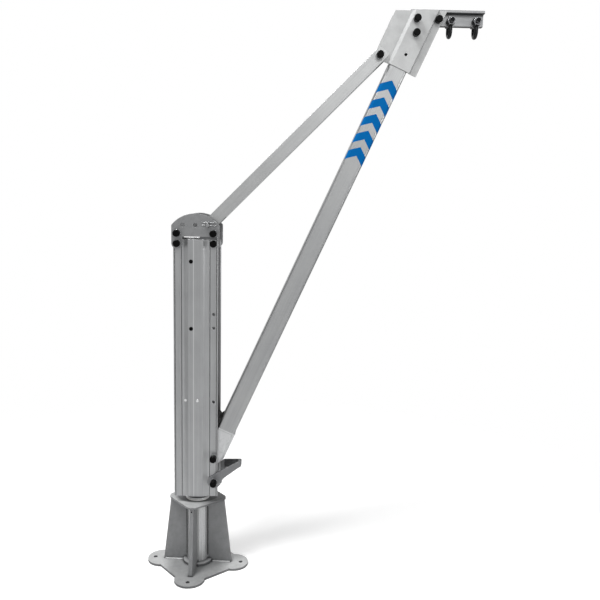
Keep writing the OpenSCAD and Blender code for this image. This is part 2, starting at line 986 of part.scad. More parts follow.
// Hollow foot of the boom: cheeks round the pivot, a lip and an insert in the profile
module boom_foot() {
    ins_w = boom_w - 2 * boom_wall - 2 * seat_gap;
    ins_d = boom_d - 2 * boom_wall - 2 * seat_gap;
    ins_r = boom_r - boom_wall;
    color("silver")
        in_boom()
            difference() {
                union() {
                    intersection() {
                        translate([0, 0, -foot_r])
                            linear_extrude(boom_s0 + foot_r - lip_t)
                                foot_section();
                        wall_y(-foot_y, foot_y)
                            foot_side();
                    }
                    translate([0, 0, boom_s0 - lip_t])
                        linear_extrude(lip_t)
                            translate([foot_right / 2 - half_b / 2, 0])
                                rounded(half_b + foot_right, 2 * lip_y, 6);
                    translate([0, 0, boom_s0 - lip_t])
                        linear_extrude(insert_len + lip_t)
                            rounded(ins_w, ins_d, ins_r);
                }
                translate([0, 0, bush_r + 12])
                    linear_extrude(boom_s0 + insert_len)
                        square([ins_w - 2 * foot_wall, ins_d - 2 * foot_wall], center = true);
                translate([-foot_r - foot_wall, 0, -foot_r - eps])
                    linear_extrude(2 * foot_r)
                        square([2 * foot_r, 2 * (foot_y - foot_wall - 8)], center = true);
                bar_y(bush_r, -foot_y - eps, foot_y + eps);
            }
}

// Two plain bushes pressed into the foot, flanges outside
module pivot_bushes() {
    color("goldenrod")
        in_boom()
            for (m = [0, 1])
                mirror([0, m, 0])
                    difference() {
                        union() {
                            bar_y(bush_r, -foot_y, -foot_y + 24);
                            bar_y(bush_r + 4, -flange_in + seat_gap, -foot_y);
                        }
                        bar_y(bolt_r + run_gap, -flange_in, -foot_y + 30);
                    }
}

// Boom profile
module boom_tube() {
    color("silver")
        in_boom()
            difference() {
                translate([0, 0, boom_s0])
                    linear_extrude(boom_s1 - boom_s0)
                        difference() {
                            rounded(boom_w, boom_d, boom_r);
                            rounded(boom_w - 2 * boom_wall, boom_d - 2 * boom_wall, boom_r - boom_wall);
                        }
                translate([shell_bolt_u, 0, shell_bolt_s])
                    bar_y(hole_r, -half_bd - eps, half_bd + eps);
                translate([shell_bolt_u, 0, open_hole_s])
                    bar_y(open_hole_r, -half_bd - eps, half_bd + eps);
            }
}

// Height of the level top edge in the boom's frame at a distance across the boom
function top_s(u) = (head_top - pivot_z + u * boom_ax[0]) / boom_ax[1];

// Side view of a head shell: sloping sides, level top, round corner at the tie bolt,
// and a lower edge that lies higher by a rise
module shell_outline(rise) {
    lug = wing_left + tie_bolt_u;
    difference() {
        union() {
            polygon([[tie_bolt_u, head_s0], [tie_bolt_u + lug, head_s0 + rise],
                [wing_right, head_s0 + rise], [wing_right, top_s(wing_right)],
                [-wing_left, top_s(-wing_left)], [-wing_left, tie_bolt_s]]);
            translate([tie_bolt_u, tie_bolt_s])
                circle(lug);
        }
        translate([tie_bolt_u, tie_bolt_s])
            circle(hole_r);
        translate([shell_bolt_u, shell_bolt_s])
            circle(hole_r);
        translate([shell_bolt_u, open_hole_s])
            circle(open_hole_r);
    }
}

// Section of the front shell: wing, sloped step, raised band over the boom, wing
module shell_section() {
    step = half_b + 6;
    polygon([[-wing_left, -wing_in], [-wing_left, -wing_out], [-step, -wing_out], [-step + 12, -shell_out],
        [half_b + 9, -shell_out], [half_b + 13, -wing_out], [wing_right, -wing_out], [wing_right, -wing_in],
        [half_b + 8, -wing_in], [half_b + 4.4, -shell_in], [-half_b + 6.6, -shell_in],
        [-half_b - 6.6, -wing_in]]);
}

module shell_front(rise) {
    difference() {
        in_boom()
            intersection() {
                translate([0, 0, head_s0 - wing_left])
                    linear_extrude(head_lap + 3 * wing_left)
                        shell_section();
                wall_y(-shell_out - eps, 0)
                    shell_outline(rise);
            }
        in_arm() {
            translate([arm_bolt_a, 0, 0])
                bar_y(hole_r, -shell_out - eps, 0);
            translate([arm_bolt_c, 0, 0])
                bar_y(hole_r, -shell_out - eps, 0);
            translate([arm_bolt_c, 0, 0])
                bar_y(washer_d / 2 + 1, -shell_out - eps, -wing_out);
        }
    }
}

module head_shell_front() {
    color("gainsboro")
        shell_front(0);
}

// The back shell ends a little higher on the boom
module head_shell_back() {
    color("gainsboro")
        mirror([0, 1, 0])
            shell_front(back_rise);
}

// Places the three bolts that hold the shells: in the boom, and two in the arm
module at_shell_bolts() {
    in_boom()
        translate([shell_bolt_u, 0, shell_bolt_s])
            children(0);
    in_arm() {
        translate([arm_bolt_a, 0, 0])
            children(0);
        translate([arm_bolt_c, 0, 0])
            children(1);
    }
}

module shell_bolts() {
    color("silver")
        at_shell_bolts() {
            bolt(shell_out, shell_out);
            bolt(wing_out, wing_out);
        }
}

module tie_bolt() {
    color("silver")
        in_tie()
            bolt(half_td + seat_gap, half_td + seat_gap);
}

// Sleeve between the two left wings round the tie bolt
module tie_spacer() {
    color("silver")
        in_tie()
            difference() {
                bar_y(bolt_r + spacer_wall, -wing_in, wing_in);
                bar_y(hole_r, -wing_in - eps, wing_in + eps);
            }
}

module boom_nuts() {
    color("silver") {
        at_shell_bolts() {
            bolt_nut(shell_out);
            bolt_nut(wing_out);
        }
        in_tie()
            bolt_nut(half_td + seat_gap);
    }
}

module boom_washers() {
    color("white") {
        at_shell_bolts() {
            bolt_washers(shell_out, shell_out);
            bolt_washers(wing_out, wing_out);
        }
        in_tie()
            bolt_washers(half_td + seat_gap, half_td + seat_gap);
    }
}

module boom_caps() {
    color("black") {
        at_shell_bolts() {
            bolt_caps(shell_out, shell_out);
            bolt_caps(wing_out, wing_out);
        }
        in_tie()
            bolt_caps(half_td + seat_gap, half_td + seat_gap);
    }
}

// Level arm of T section, with a round lobe under each shackle pin
module arm_beam() {
    color("silver")
        in_arm()
            difference() {
                union() {
                    wall_y(-arm_w / 2, arm_w / 2)
                        translate([arm_left, arm_top - arm_flange_t])
                            square([arm_right - arm_left, arm_flange_t]);
                    wall_y(-arm_web_t / 2, arm_web_t / 2) {
                        translate([arm_left, -arm_low])
                            square([arm_right - arm_left, arm_low + arm_top - 1]);
                        for (x = [shackle_in_x, shackle_out_x])
                            translate([x, pin_rise])
                                circle(lobe_pin_r);
                    }
                }
                for (x = [arm_bolt_a, arm_bolt_c])
                    translate([x, 0, 0])
                        bar_y(hole_r, -arm_web_t, arm_web_t);
                for (x = [shackle_in_x, shackle_out_x])
                    translate([x, 0, pin_rise])
                        bar_y(shackle_r + run_gap, -arm_web_t, arm_web_t);
            }
}

// Sleeves on the arm bolts between the arm's web and the shells
module arm_spacers() {
    color("silver")
        in_arm()
            for (b = [[arm_bolt_a, shell_in], [arm_bolt_c, wing_in]])
                translate([b[0], 0, 0])
                    for (m = [0, 1])
                        mirror([0, m, 0])
                            difference() {
                                bar_y(bolt_r + spacer_wall, -b[1], -arm_web_t / 2);
                                bar_y(hole_r, -b[1] - eps, 0);
                            }
}

// Side view of the tie: clipped corners at the head, a round open hook at the pin
module tie_outline() {
    clip = 8;
    low = -tie_len;
    slot_r = pin_r + seat_gap;
    difference() {
        union() {
            polygon([[-half_t, low + tie_taper], [-tie_end_r, low], [tie_end_r, low],
                [half_t, low + tie_taper],
                [half_t, tie_past - clip], [half_t - clip, tie_past],
                [-half_t + clip, tie_past], [-half_t, tie_past - clip]]);
            translate([0, low])
                circle(tie_end_r);
        }
        circle(bolt_r + run_gap);
        translate([0, low]) {
            circle(slot_r);
            rotate(180 + slot_dir)
                polygon([[0, -slot_r], [slot_reach, -slot_r - 4], [slot_reach, slot_r + 4], [0, slot_r]]);
        }
    }
}

// Hollow tie, forked at both ends
module tie_bar() {
    color("silver")
        in_tie()
            difference() {
                wall_y(-half_td, half_td)
                    tie_outline();
                translate([-half_t + tie_wall, -tie_in, -tie_len - 60])
                    cube([tie_w - 2 * tie_wall, 2 * tie_in, tie_len + 120]);
                translate([-half_t - eps, -tie_in, -tie_len - 60])
                    cube([tie_w + 2 * eps, 2 * tie_in, 60 + tie_open]);
                translate([-half_t - eps, -tie_in, -tie_fork])
                    cube([tie_w + 2 * eps, 2 * tie_in, tie_fork + 60]);
            }
}

// Half of a shackle bow: ear, leg and quarter bend
module bow_half() {
    bend_z = -bow_drop + bow_r + bow_arc;
    ear_y = jaw + ear_t / 2;
    leg = norm([bow_arc - ear_y, bend_z]);
    lean = atan2(bow_arc - ear_y, -bend_z);
    difference() {
        union() {
            bar_y(ear_out_r, jaw, jaw + ear_t);
            translate([0, ear_y, 0])
                rotate([180 + lean, 0, 0])
                    cylinder(r = bow_r, h = leg);
            translate([0, bow_arc, bend_z])
                sphere(bow_r);
            translate([0, 0, bend_z])
                rotate([90, 0, 90])
                    rotate([0, 0, -90])
                        rotate_extrude(angle = 90)
                            translate([bow_arc, 0])
                                circle(bow_r);
        }
        bar_y(shackle_r + weld_gap, 0, jaw + ear_t + eps);
        bar_y(ear_out_r + 3, 0, jaw);
        bar_y(shackle_spot_r, jaw + ear_t, jaw + 2 * ear_t);
    }
}

module bow() {
    bow_half();
    mirror([0, 1, 0])
        bow_half();
}

// Shackle pin: hexagon head behind, thread end in front
module shackle_pin() {
    ear_out = jaw + ear_t;
    bar_y(shackle_r, -ear_out - shackle_end, ear_out + 1);
    hex_y(shackle_af, ear_out, ear_out + shackle_head_h);
}

module shackle_nut() {
    ear_out = jaw + ear_t;
    difference() {
        hex_y(shackle_af, -ear_out - shackle_nut_h, -ear_out);
        bar_y(shackle_r + weld_gap, -ear_out - shackle_nut_h - eps, -ear_out + eps);
    }
}

module at_inner() {
    in_arm()
        translate([shackle_in_x, 0, pin_rise])
            children();
}

module at_outer() {
    in_arm()
        translate([shackle_out_x, 0, pin_rise])
            children();
}

module shackle_bow_inner() {
    color("dimgray")
        at_inner()
            bow();
}

module shackle_pin_inner() {
    color("dimgray")
        at_inner()
            shackle_pin();
}

module shackle_nut_inner() {
    color("dimgray")
        at_inner()
            shackle_nut();
}

module shackle_bow_outer() {
    color("dimgray")
        at_outer()
            bow();
}

module shackle_pin_outer() {
    color("dimgray")
        at_outer()
            shackle_pin();
}

module shackle_nut_outer() {
    color("dimgray")
        at_outer()
            shackle_nut();
}

base_plate();
foot_ring();
socket_tube();
gussets();
weld_beads();
top_plate();
socket_liner();
thrust_washer();
mast_spigot();
mast_profile();
mast_screws();
mast_plugs();
head_plate_front();
head_plate_back();
head_block_left();
head_block_right();
head_bolts();
boom_pivot_bolt();
lever_bolt();
mast_nuts();
mast_washers();
mast_caps();
boom_buffer();
release_pin();
pin_clip();
foot_lever();
boom_foot();
pivot_bushes();
boom_tube();
head_shell_front();
head_shell_back();
shell_bolts();
tie_bolt();
tie_spacer();
boom_nuts();
boom_washers();
boom_caps();
arm_beam();
arm_spacers();
tie_bar();
shackle_bow_inner();
shackle_pin_inner();
shackle_nut_inner();
shackle_bow_outer();
shackle_pin_outer();
shackle_nut_outer();
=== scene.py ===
# %% [markdown]
# # A davit crane, dressed and lit
# The crane's solids come ready made, to the millimetre, in one file. This script
# loads them, and gives them their metals, plastics and film. Every step below
# first says what the real thing is, how it could be made, and why this way was
# chosen.

import json
import math

import bpy
from mathutils import Matrix, Vector


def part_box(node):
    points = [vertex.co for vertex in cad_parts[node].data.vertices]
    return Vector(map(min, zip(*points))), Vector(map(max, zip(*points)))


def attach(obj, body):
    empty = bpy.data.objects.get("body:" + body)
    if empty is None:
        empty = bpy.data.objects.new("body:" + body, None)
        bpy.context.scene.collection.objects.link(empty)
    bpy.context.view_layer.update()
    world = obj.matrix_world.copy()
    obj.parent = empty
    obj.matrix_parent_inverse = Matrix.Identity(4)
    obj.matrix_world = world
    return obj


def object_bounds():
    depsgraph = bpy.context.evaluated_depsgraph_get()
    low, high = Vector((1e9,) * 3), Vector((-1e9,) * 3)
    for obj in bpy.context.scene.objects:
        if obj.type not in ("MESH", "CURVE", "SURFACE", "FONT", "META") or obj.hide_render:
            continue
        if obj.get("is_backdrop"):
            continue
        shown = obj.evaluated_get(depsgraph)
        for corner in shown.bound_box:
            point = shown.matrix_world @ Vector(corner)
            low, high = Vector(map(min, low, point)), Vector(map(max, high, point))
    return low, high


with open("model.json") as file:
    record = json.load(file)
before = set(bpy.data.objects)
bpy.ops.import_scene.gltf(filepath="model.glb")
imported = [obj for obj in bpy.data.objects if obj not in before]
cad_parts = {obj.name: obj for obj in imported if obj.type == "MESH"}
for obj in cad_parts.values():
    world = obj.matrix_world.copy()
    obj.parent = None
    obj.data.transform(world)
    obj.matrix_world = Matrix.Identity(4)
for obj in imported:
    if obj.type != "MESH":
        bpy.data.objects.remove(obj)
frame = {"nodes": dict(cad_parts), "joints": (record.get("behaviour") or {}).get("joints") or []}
nodes = frame["nodes"]
cad_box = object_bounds()
print("nodes:", len(nodes), "box:", [[round(v, 3) for v in corner] for corner in cad_box])

# %% [markdown]
# ## The camera
# The photograph was taken from a standing height, nearly three metres away, with
# the lens tilted a little down. A camera can be turned by Euler angles, but three
# axes in a matrix leave no doubt about their order, so the matrix is built here
# from yaw, tilt and roll. The lens gives 700 pixels per unit of tangent on a
# picture 600 pixels wide.

# %% Camera
PICTURE_PX = 600
FOCAL_PX = 700.0
SENSOR_MM = 36.0
# The place is in metres, the angles are in radians
EYE = Vector((0.38993, -2.84340, 1.57888))
YAW, TILT, ROLL = 0.01032, 0.14795, 0.02109

ahead = Vector((math.sin(YAW) * math.cos(TILT), math.cos(YAW) * math.cos(TILT), -math.sin(TILT)))
level = Vector((math.cos(YAW), -math.sin(YAW), 0.0))
lift = level.cross(ahead)
right = level * math.cos(ROLL) + lift * math.sin(ROLL)
up = lift * math.cos(ROLL) - level * math.sin(ROLL)

lens = bpy.data.cameras.new("photo_camera")
lens.sensor_width = SENSOR_MM
lens.lens = FOCAL_PX / PICTURE_PX * SENSOR_MM
camera = bpy.data.objects.new("photo_camera", lens)
bpy.context.scene.collection.objects.link(camera)
camera.matrix_world = Matrix.Translation(EYE) @ Matrix((right, up, -ahead)).transposed().to_4x4()
bpy.context.scene.camera = camera
print("lens mm:", round(lens.lens, 2))

# %% [markdown]
# ## Colours and nodes
# A paint chart gives colours as a screen shows them, and a renderer works with
# the light itself. One function turns the first into the second. A second one
# adds a node to a material, with its settings and what its inputs hold, so that
# each finish below reads as a short list. A finish goes onto a piece through the
# piece's material slots, and the mesh stays as it came.

# %% Colour and nodes
MM = 0.001


def linear(hex_colour):
    """The light that an sRGB hex colour stands for, as red, green, blue and alpha."""
    parts = [int(hex_colour[i:i + 2], 16) / 255 for i in (1, 3, 5)]
    # The numbers are those of the sRGB curve: straight near black, a power above it
    return (*[p / 12.92 if p <= 0.04045 else ((p + 0.055) / 1.055) ** 2.4 for p in parts], 1.0)


def add(tree, kind, inputs=None, **settings):
    """Adds one node with its settings; inputs hold values or are linked to sockets."""
    node = tree.nodes.new(kind)
    for key, value in settings.items():
        setattr(node, key, value)
    for key, value in (inputs or {}).items():
        if isinstance(value, bpy.types.NodeSocket):
            tree.links.new(value, node.inputs[key])
        else:
            node.inputs[key].default_value = value
    return node


print("a middle grey of the screen is this much light:", round(linear("#808080")[0], 3))


# %% Materials and slots
def blank(name):
    """A material with nothing in it, and its node tree."""
    material = bpy.data.materials.new(name)
    material.use_nodes = True
    material.node_tree.nodes.clear()
    return material, material.node_tree


def dress(material, *names):
    """Gives CAD nodes a material through their slots."""
    for name in names:
        for held in nodes[name].material_slots:
            held.material = material
    print(material.name, "on", ", ".join(names))


print("slots to dress:", sum(len(piece.material_slots) for piece in nodes.values()))

# %% [markdown]
# ## Patterns and layers
# A noise needs a place to be read at. The object's own coordinates are in metres
# and stay with the piece when it moves. For a profile they are turned so that
# one axis runs along it, because a die leaves its lines along the profile. The
# pattern's size is given in millimetres, across and along. A finish is then built
# as a painter builds it, one layer over another. What says where a layer lies is
# a noise, a height, a distance or a direction, and each is stretched between the
# value at which the layer begins and the one at which it is full.


# %% Noise laid out in millimetres
def laid_noise(tree, across_mm, along_mm, lean_deg=0.0, detail=3.0, rough=0.55):
    """Noise whose grains are so wide and so long, the long way leaning from Z toward X."""
    turned = add(tree, "ShaderNodeVectorRotate",
                 {"Vector": add(tree, "ShaderNodeTexCoord").outputs["Object"],
                  "Angle": -math.radians(lean_deg), "Axis": (0, 1, 0)}, rotation_type="AXIS_ANGLE")
    across, along = 1 / (across_mm * MM), 1 / (along_mm * MM)
    scaled = add(tree, "ShaderNodeVectorMath", {0: turned.outputs[0], 1: (across, across, along)},
                 operation="MULTIPLY")
    noise = add(tree, "ShaderNodeTexNoise", {"Vector": scaled.outputs[0], "Scale": 1.0,
                                             "Detail": detail, "Roughness": rough})
    return noise.outputs["Fac"]


# %% Layers of colour
# A noise seldom leaves this stretch, so it is what a layer is spread over unless told otherwise
NOISE_LOW, NOISE_HIGH = 0.3, 0.7
# Mix has one socket of each name per data type, so the colour ones are taken by their place
UNDER, OVER, MIXED = 6, 7, 2


def laid_over(tree, under, over, value, most=1.0, begins=NOISE_LOW, ends=NOISE_HIGH):
    """A colour laid over another: none of it where the value is begins, the most where it is ends."""
    mask = add(tree, "ShaderNodeMapRange", {"Value": value, "From Min": begins, "From Max": ends,
                                            "To Min": 0.0, "To Max": most})
    over = over if isinstance(over, bpy.types.NodeSocket) else linear(over)
    mix = add(tree, "ShaderNodeMix", {"Factor": mask.outputs["Result"], UNDER: under, OVER: over},
              data_type="RGBA")
    return mix.outputs[MIXED]


# %% Places and directions on the crane
def place(tree):
    """Where a point of the crane is at rest, in metres, as sockets X, Y and Z."""
    found = add(tree, "ShaderNodeTexCoord").outputs["Object"]
    return add(tree, "ShaderNodeSeparateXYZ", {0: found}).outputs


def off_line(tree, line_mm=0.0):
    """How far a point is to the side of an upright line, in metres."""
    across = add(tree, "ShaderNodeMath", {0: place(tree)["X"], 1: line_mm * MM}, operation="SUBTRACT")
    return add(tree, "ShaderNodeMath", {0: across.outputs[0]}, operation="ABSOLUTE").outputs[0]


def laid_by_facing(tree, under, over, most, begins, ends):
    """A layer on faces that look a certain way, by their height part: -1 is down, 0 level, 1 is up."""
    facing = add(tree, "ShaderNodeSeparateXYZ", {0: add(tree, "ShaderNodeTexCoord").outputs["Normal"]})
    return laid_over(tree, under, over, facing.outputs["Z"], most, begins, ends)


# %% [markdown]
# ## Worn edges and painted corner shade
# On metal that is handled, edges lose their coating and shine. A bevel shader
# rounds an edge for the light alone, and where that rounded direction and the
# true one differ there is an edge. Real bevels on every solid would cost many
# faces and show no more at this distance. Inside corners get painted shade: a
# second function asks how much of the sky a point sees past the faces beside it,
# and darkens the colour where that is little, as shade would.


# %% Edges and inside corners found by the shader
BEVEL_SAMPLES, SKY_SAMPLES = 6, 8


def pale_edges(tree, tone, hex_edge, radius_mm):
    """The tone with pale edges, worn on most pieces and a painted highlight on the shackles' nuts and pins,
    and the direction of the surface with its edges rounded.
    """
    rounded = add(tree, "ShaderNodeBevel", {"Radius": radius_mm * MM}, samples=BEVEL_SAMPLES)
    true = add(tree, "ShaderNodeNewGeometry")
    match = add(tree, "ShaderNodeVectorMath", {0: rounded.outputs[0], 1: true.outputs["Normal"]},
                operation="DOT_PRODUCT")
    tone = laid_over(tree, tone, hex_edge, match.outputs["Value"], begins=0.99, ends=0.80)
    return tone, rounded.outputs[0]


def shaded_corners(tree, tone, hex_shade, reach_mm, most, own_piece=True):
    """The tone with painted shade where faces meet at an inside corner, of this piece or of any."""
    sky = add(tree, "ShaderNodeAmbientOcclusion", {"Distance": reach_mm * MM}, samples=SKY_SAMPLES,
              only_local=own_piece)
    return laid_over(tree, tone, hex_shade, sky.outputs["AO"], most, begins=0.92, ends=0.5)


# %% The end of a finish
def surface(tree, tone, direction, dulled_by, roughness, relief, strength, depth_mm, held):
    """Ends a tree: its tone, a roughness that follows a noise, a relief, and values held all over."""
    dull = add(tree, "ShaderNodeMapRange",
               {"Value": dulled_by, "From Min": NOISE_LOW, "From Max": NOISE_HIGH,
                "To Min": roughness[0], "To Max": roughness[1]})
    bump = add(tree, "ShaderNodeBump", {"Height": relief, "Strength": strength,
                                        "Distance": depth_mm * MM, "Normal": direction})
    shader = add(tree, "ShaderNodeBsdfPrincipled", {"Base Color": tone, "Roughness": dull.outputs[0],
                                                    "Normal": bump.outputs[0], **held})
    add(tree, "ShaderNodeOutputMaterial", {"Surface": shader.outputs[0]})


# %% [markdown]
# ## Drawn and anodised profiles
# The mast, the boom, the tie and the arm are aluminium pushed hot through a die,
# then anodised to a dull silver. The die leaves fine lines along the length, and
# the acid bath leaves a soft, even shine with faint clouds. So the finish is a
# bare metal of middle roughness, with stretched noise for lines and round noise
# for clouds. Real die lines are a tenth of a millimetre apart: they are drawn at
# a millimetre, or they would not show. The mast keeps one bright streak from its
# die. The arm gets painted shade on the faces that look down, and a painted
# shadow along the lower rim of its flange.


# %% Marks and painted shadow on the profiles
# How far from its middle the streak is full and where it is gone
STREAK_FULL_MM, STREAK_GONE_MM = 0.6, 1.6
# How far above the flange's underside the painted shadow is full and where it is gone
SHADOW_RIM_FULL_MM, SHADOW_RIM_GONE_MM = 2.2, 3.6
# What is left of a mark's fade where it has to end at once
SHARP_MM = 0.2


def die_streak(tree, tone, line_mm):
    """The tone with one bright upright line."""
    return laid_over(tree, tone, "#E2E3E3", off_line(tree, line_mm), most=0.6,
                     begins=STREAK_GONE_MM * MM, ends=STREAK_FULL_MM * MM)


def flange_shadow_rim(tree, tone, low_mm):
    """The tone with a painted shadow just above a height, and as it was below."""
    height = place(tree)["Z"]
    rim = laid_over(tree, tone, "#2A2B2C", height, most=0.85,
                    begins=(low_mm + SHADOW_RIM_GONE_MM) * MM, ends=(low_mm + SHADOW_RIM_FULL_MM) * MM)
    return laid_over(tree, rim, tone, height, begins=low_mm * MM, ends=(low_mm - SHARP_MM) * MM)


# %% Anodised profile
def anodised_profile(name, hex_colour, hex_cloud, lean_deg, roughness, hex_edge="#D8D9DA",
                     corner_shade=0.85, metal=1.0, streak_mm=None, shade_below=0.0, shadow_rim_mm=None):
    """Extruded and anodised aluminium: fine lines along the piece, faint clouds, bright edges."""
    material, tree = blank(name)
    lines = laid_noise(tree, 1.0, 260.0, lean_deg, detail=4.0, rough=0.6)
    bands = laid_noise(tree, 9.0, 900.0, lean_deg, detail=2.0, rough=0.5)
    clouds = laid_noise(tree, 90.0, 160.0, lean_deg)
    specks = laid_noise(tree, 2.2, 2.2, lean_deg, detail=2.0, rough=0.7)
    tone = laid_over(tree, linear(hex_colour), hex_cloud, clouds)
    tone = laid_over(tree, tone, "#5E6062", lines, most=0.22)
    tone = laid_over(tree, tone, "#D2D3D4", bands, most=0.12)
    tone = laid_over(tree, tone, "#6B6C6E", specks, most=0.55, begins=0.74, ends=0.86)
    tone, direction = pale_edges(tree, tone, hex_edge, 0.9)
    # Inside corners get painted shade
    tone = shaded_corners(tree, tone, "#1E1F20", 7.0, corner_shade)
    if streak_mm is not None:
        tone = die_streak(tree, tone, streak_mm)
    # Faces that look down get painted shade
    if shade_below:
        tone = laid_by_facing(tree, tone, "#121213", shade_below, begins=-0.3, ends=-0.8)
    # A painted shadow along the rim just above the flange's underside
    if shadow_rim_mm is not None:
        tone = flange_shadow_rim(tree, tone, shadow_rim_mm)
    surface(tree, tone, direction, dulled_by=lines, roughness=(roughness - 0.05, roughness + 0.07),
            relief=lines, strength=0.10, depth_mm=0.1, held={"Metallic": metal})
    return material


# %% Mast, boom, tie and arm
def middle(name):
    """The middle of a CAD node's box, in metres."""
    low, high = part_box(name)
    return (Vector(low) + Vector(high)) / 2


# Where each hinge of the crane is, in metres
hinges = {joint["name"]: Vector(joint["pos_m"]) for joint in frame["joints"] if "pos_m" in joint}
# The tie runs from the release pin to the hinge at the boom's head
tie_line = hinges["tie_fold"] - middle("release_pin")
# Degrees off upright, toward the boom's head
BOOM_LEAN, ARM_LEAN = 24.05, 90.0
TIE_LEAN = math.degrees(math.atan2(tie_line.x, tie_line.z))
# The underside of the arm's top flange
FLANGE_MM = 11.0
FLANGE_LOW_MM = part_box("arm_beam")[1][2] / MM - FLANGE_MM
print("tie leans", round(TIE_LEAN, 3), "degrees, flange starts at", round(FLANGE_LOW_MM, 2), "mm")

dress(anodised_profile("anodised_mast_profile", "#A0A1A2", "#ABACAD", lean_deg=0.0, roughness=0.42,
                       streak_mm=-8.0), "mast_profile")
dress(anodised_profile("anodised_boom_profile", "#AFB0B0", "#A7A8A9", BOOM_LEAN, roughness=0.42),
      "boom_tube")
dress(anodised_profile("anodised_tie_profile", "#AAABAB", "#B2B3B3", TIE_LEAN, roughness=0.42),
      "tie_bar")
# The arm gets painted shade on its downward faces and a painted shadow along its flange's lower rim
dress(anodised_profile("anodised_arm_profile", "#8F9091", "#98999A", ARM_LEAN, roughness=0.44,
                       hex_edge="#A5A6A7", corner_shade=0.3, shade_below=0.95,
                       shadow_rim_mm=FLANGE_LOW_MM), "arm_beam")

# %% [markdown]
# ## Plates, blocks and castings
# The head's plates are cut from rolled sheet, the shells are pressed, the lever
# is bent, the blocks are milled and the boom's foot is cast. All are then dulled
# with fine glass beads, so one function serves them, each with its own greys.
# The eye sees an even satin with slight clouds, a few stains and bright, worn
# edges. Real bead marks are about a tenth of a millimetre wide: they are drawn
# at 0.9 mm, or they would not show.


# %% Bead-blasted plate
def blasted_plate(name, hex_colour, hex_cloud, hex_edge, roughness, stain=0.35, metal=1.0):
    """Aluminium dulled with glass beads: a fine even grain, slight clouds, bright edges."""
    material, tree = blank(name)
    clouds = laid_noise(tree, 45.0, 60.0, detail=4.0, rough=0.6)
    grain = laid_noise(tree, 0.9, 0.9, detail=2.0, rough=0.6)
    stains = laid_noise(tree, 14.0, 20.0, lean_deg=20.0, detail=5.0, rough=0.65)
    tone = laid_over(tree, linear(hex_colour), hex_cloud, clouds)
    tone = laid_over(tree, tone, "#606163", stains, most=stain, begins=0.52, ends=0.75)
    tone = laid_over(tree, tone, "#4A4B4D", grain, most=0.16)
    tone, direction = pale_edges(tree, tone, hex_edge, 0.9)
    # Inside corners get painted shade
    tone = shaded_corners(tree, tone, "#26272A", 6.0, 0.7)
    surface(tree, tone, direction, dulled_by=clouds, roughness=(roughness - 0.05, roughness + 0.06),
            relief=grain, strength=0.25, depth_mm=0.08, held={"Metallic": metal})
    return material


# The shells are the palest and dullest: a thick oxide hides half of the metal's shine
dress(blasted_plate("pressed_head_shell", "#C6C7C7", "#BFC0C0", "#DADBDB", roughness=0.60,
                    stain=0.1, metal=0.5), "head_shell_front", "head_shell_back")
dress(blasted_plate("cut_head_plate", "#969798", "#8C8D8E", "#B9BABB", roughness=0.52),
      "head_plate_front", "head_plate_back")
dress(blasted_plate("bent_lever_plate", "#7F8082", "#8B8C8D", "#B5B6B7", roughness=0.50), "foot_lever")
# Milling and casting leave a closer skin than rolling does, so these two shine a little more
dress(blasted_plate("milled_block", "#6E6F71", "#7A7B7C", "#C4C5C6", roughness=0.45),
      "head_block_left", "head_block_right")
dress(blasted_plate("cast_boom_foot", "#CDCECF", "#D3D4D5", "#DEDFDF", roughness=0.45), "boom_foot")

# %% [markdown]
# ## The welded socket
# The socket is welded from thick plate and tube, then coated with a grey film. It
# is thin on the gussets and welds, where half of the metal's shine comes through.
# On the floor plate and the top plate it is nearly a paint: bare metal that lies
# flat would mirror the lamp overhead. The film is mottled, pale along its edges
# and darker on faces that look sideways or down, and its grain is drawn at 0.8
# mm, as coarse as it needs to show. Shade is painted on too: painted shade in the
# middle of the floor plate, a painted shadow under the mast and on the lever's
# side of the top plate, and painted shade up the beads beside the tube. Each is a
# layer that is laid by a point's place, so no picture has to be painted and fitted.

# %% Painted shade and shadow on the socket
# The painted shadow under the mast counts x for less, so it is wider than deep, and leaves height out
MAST_SHADOW_STRETCH = (0.72, 1.0, 0.0)
MAST_SHADOW_FULL_MM, MAST_SHADOW_GONE_MM = 58, 70
# The painted shadow on the lever's side starts to the right of the mast's axis and is full further out
SIDE_SHADOW_START_MM, SIDE_SHADOW_FULL_MM = 18, 62
# The floor plate's painted shade reaches so far to each side, and fades over so much more
MIDDLE_SHADE_TO_MM, MIDDLE_SHADE_FADE_MM = 95, 45
# Painted shade lies on the beads at the tube's sides, from so far out, and from a height upward
BEAD_SHADE_GONE_MM, BEAD_SHADE_FULL_MM = 30, 36
BEAD_SHADE_LOW_MM, BEAD_SHADE_HIGH_MM = 34, 42


def painted_top_plate_shadow(tree, tone):
    """The tone with a painted shadow under the mast, round the bearing, and on the lever's side."""
    found = add(tree, "ShaderNodeTexCoord").outputs["Object"]
    flat = add(tree, "ShaderNodeVectorMath", {0: found, 1: MAST_SHADOW_STRETCH}, operation="MULTIPLY")
    reach = add(tree, "ShaderNodeVectorMath", {0: flat.outputs["Vector"]}, operation="LENGTH")
    mast_shadow = add(tree, "ShaderNodeMapRange",
                 {"Value": reach.outputs["Value"], "From Min": MAST_SHADOW_GONE_MM * MM,
                  "From Max": MAST_SHADOW_FULL_MM * MM, "To Min": 0.0, "To Max": 0.85})
    side_shadow = add(tree, "ShaderNodeMapRange",
                {"Value": place(tree)["X"], "From Min": SIDE_SHADOW_START_MM * MM,
                 "From Max": SIDE_SHADOW_FULL_MM * MM, "To Min": 0.0, "To Max": 0.63})
    # Where both painted shadows lie, the stronger one shows, so the overlap is no darker
    shadow_share = add(tree, "ShaderNodeMath", {0: mast_shadow.outputs["Result"], 1: side_shadow.outputs["Result"]},
               operation="MAXIMUM")
    return laid_over(tree, tone, "#3A3B3D", shadow_share.outputs[0], begins=0.0, ends=1.0)


